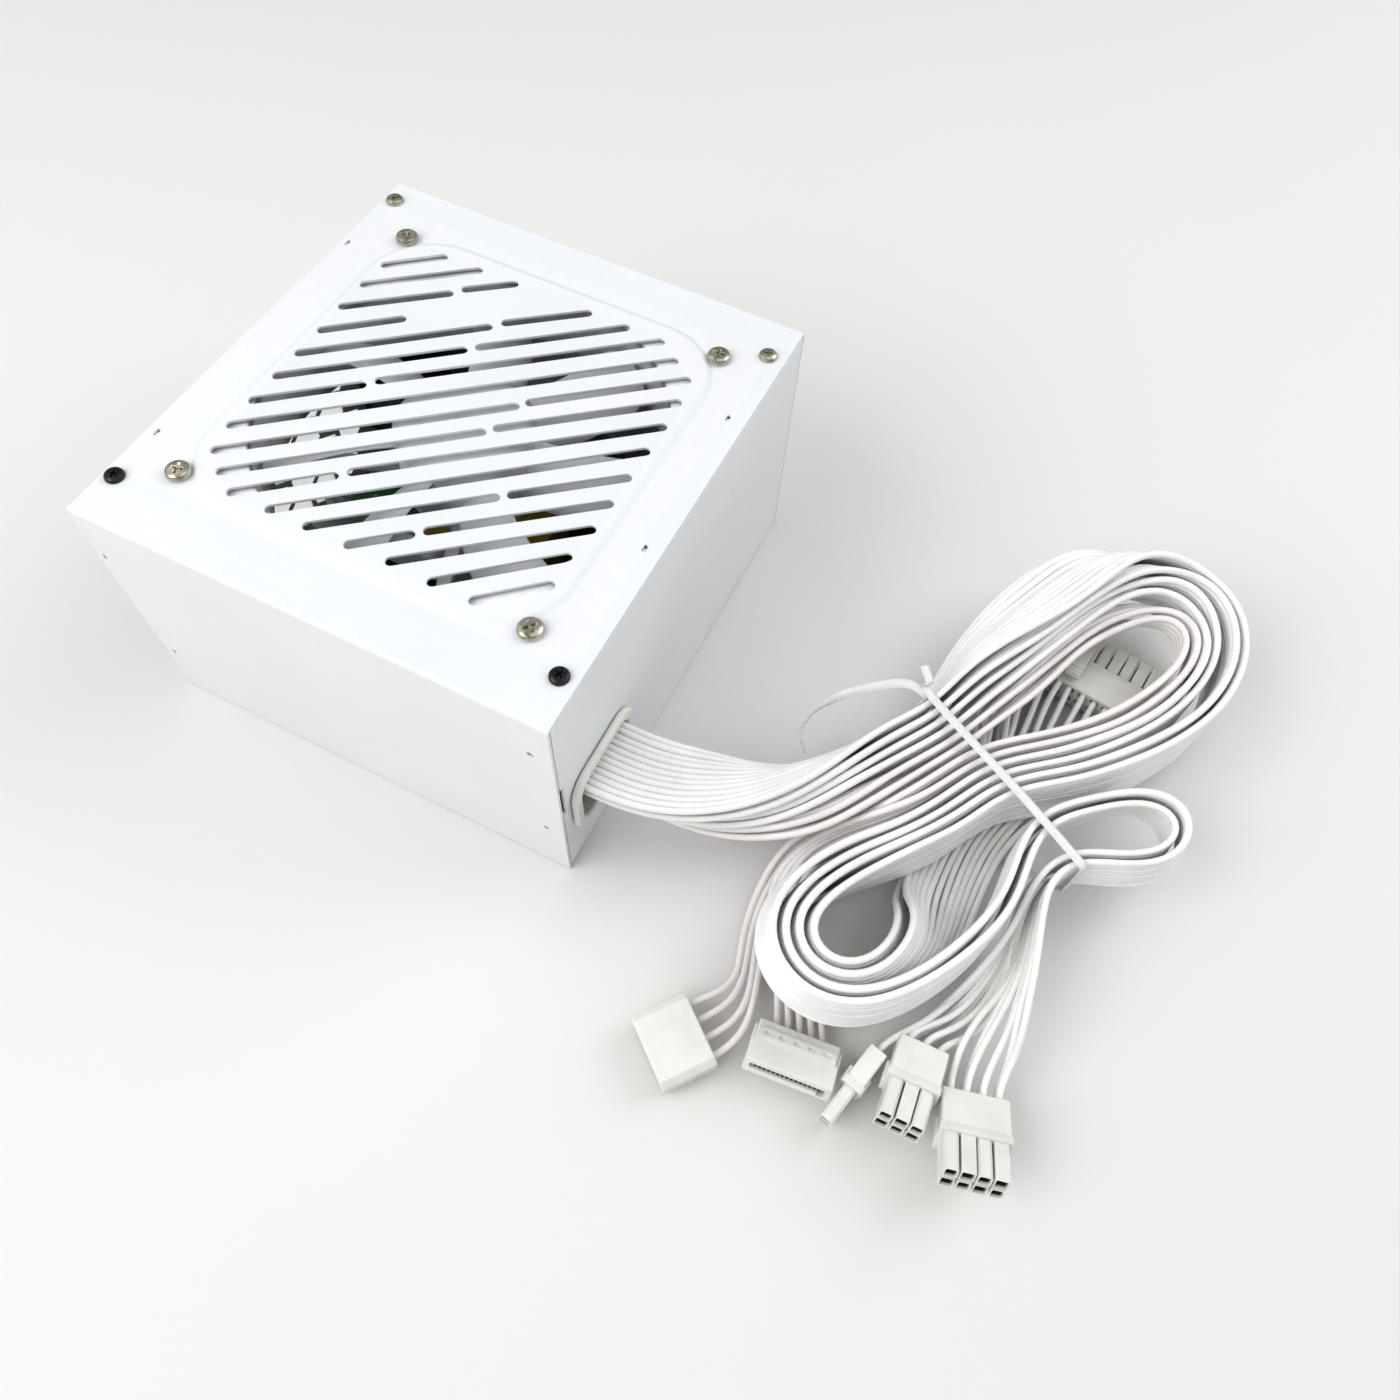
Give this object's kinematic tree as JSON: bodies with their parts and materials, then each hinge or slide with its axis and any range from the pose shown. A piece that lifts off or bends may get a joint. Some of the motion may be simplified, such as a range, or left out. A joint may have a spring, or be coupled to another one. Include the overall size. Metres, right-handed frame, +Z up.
{
  "type": "computer power supply unit",
  "caption": "White ATX power supply: sheet-steel case with a slotted fan panel, mains inlet and switch, and fixed flat ribbon cables tied in a coil.",
  "frame": {"origin": "centre of the case's bottom face", "axes": "+Z up through the fan, +X towards the face where the cables leave, Y across the case"},
  "size_m": [0.3035, 0.2192, 0.0883],
  "materials": {
    "white_paint": "satin white powder coat with fine texture",
    "black_screw": "black oxide steel",
    "brass_screw": "yellow zinc-plated steel",
    "fan_plastic": "pale moulded plastic",
    "ferrite": "dark bonded ferrite",
    "steel": "plated steel",
    "bearing_brass": "sintered bronze",
    "copper_winding": "enamelled copper winding",
    "black_plastic": "black moulded plastic",
    "circuit_board": "green solder mask",
    "sheet_film": "translucent insulating film",
    "aluminium": "extruded aluminium",
    "yellow_tape": "yellow polyester tape",
    "blue_sleeve": "heat-shrink sleeve",
    "drive_cable": "pale PVC-insulated wires, slightly pink",
    "white_cable": "white PVC-insulated ribbon wires",
    "tie_plastic": "white plastic-coated wire tie",
    "white_plastic": "ivory white nylon"
  },
  "bodies": {
    "housing": {"base_tray": "white_paint", "board_screw_1": "steel", "board_screw_2": "steel", "boost_inductor": "copper_winding", "bridge_rectifier": "black_plastic", "bulk_capacitor": "blue_sleeve", "cable_cpu": "white_cable", "cable_drive": "drive_cable", "cable_gpu": "white_cable", "cable_grommet": "white_plastic", "cable_main_a": "white_cable", "cable_main_b": "white_cable", "cable_peripheral": "drive_cable", "cover_screw_1": "brass_screw", "cover_screw_2": "black_screw", "cover_screw_3": "black_screw", "cover_screw_4": "brass_screw", "emi_choke": "copper_winding", "fan_bearing": "bearing_brass", "fan_frame": "fan_plastic", "fan_screw_1": "brass_screw", "fan_screw_2": "brass_screw", "fan_screw_3": "brass_screw", "fan_screw_4": "brass_screw", "fan_stator": "copper_winding", "heatsink_primary": "aluminium", "heatsink_secondary": "aluminium", "inlet_blade_earth": "steel", "inlet_blade_live": "steel", "inlet_blade_neutral": "steel", "inlet_body": "black_plastic", "insulation_sheet": "sheet_film", "main_pcb": "circuit_board", "main_transformer": "yellow_tape", "output_capacitor_1": "black_plastic", "output_capacitor_2": "black_plastic", "output_inductor": "copper_winding", "plug_cpu": "white_plastic", "plug_drive": "white_plastic", "plug_gpu_2": "white_plastic", "plug_gpu_6": "white_plastic", "plug_main": "white_plastic", "plug_peripheral": "white_plastic", "standby_transformer": "yellow_tape", "switch_housing": "black_plastic", "top_cover": "white_paint", "twist_tie": "tie_plastic", "x_capacitor": "yellow_tape"},
    "rotor": {"fan_rotor": "fan_plastic", "fan_magnet": "ferrite", "fan_shaft": "steel"},
    "rocker": {"switch_rocker": "black_plastic"},
    "lever_main": {"latch_main": "white_plastic"},
    "lever_cpu": {"latch_cpu": "white_plastic"},
    "lever_gpu": {"latch_gpu": "white_plastic"}
  },
  "joints": [
    {"name": "fan_spin", "type": "hinge", "parent": "housing", "child": "rotor", "pos_m": [0, 0, 0.0722], "axis": [0, 0, 1], "continuous": true},
    {"name": "switch_tilt", "type": "hinge", "parent": "housing", "child": "rocker", "pos_m": [-0.0678, 0.046, 0.062], "axis": [0, 1, 0], "range_deg": [-18, 0]},
    {"name": "main_latch_press", "type": "hinge", "parent": "housing", "child": "lever_main", "pos_m": [0.18485, 0.05857, 0.013], "axis": [0.9896, -0.1439, 0], "range_deg": [0, 6]},
    {"name": "cpu_latch_press", "type": "hinge", "parent": "housing", "child": "lever_cpu", "pos_m": [0.20115, -0.09747, 0.00559], "axis": [0.9715, 0.237, 0], "range_deg": [0, 6]},
    {"name": "gpu_latch_press", "type": "hinge", "parent": "housing", "child": "lever_gpu", "pos_m": [0.18192, -0.09086, 0.00426], "axis": [0.9995, 0.0302, 0], "range_deg": [0, 6]}
  ]
}
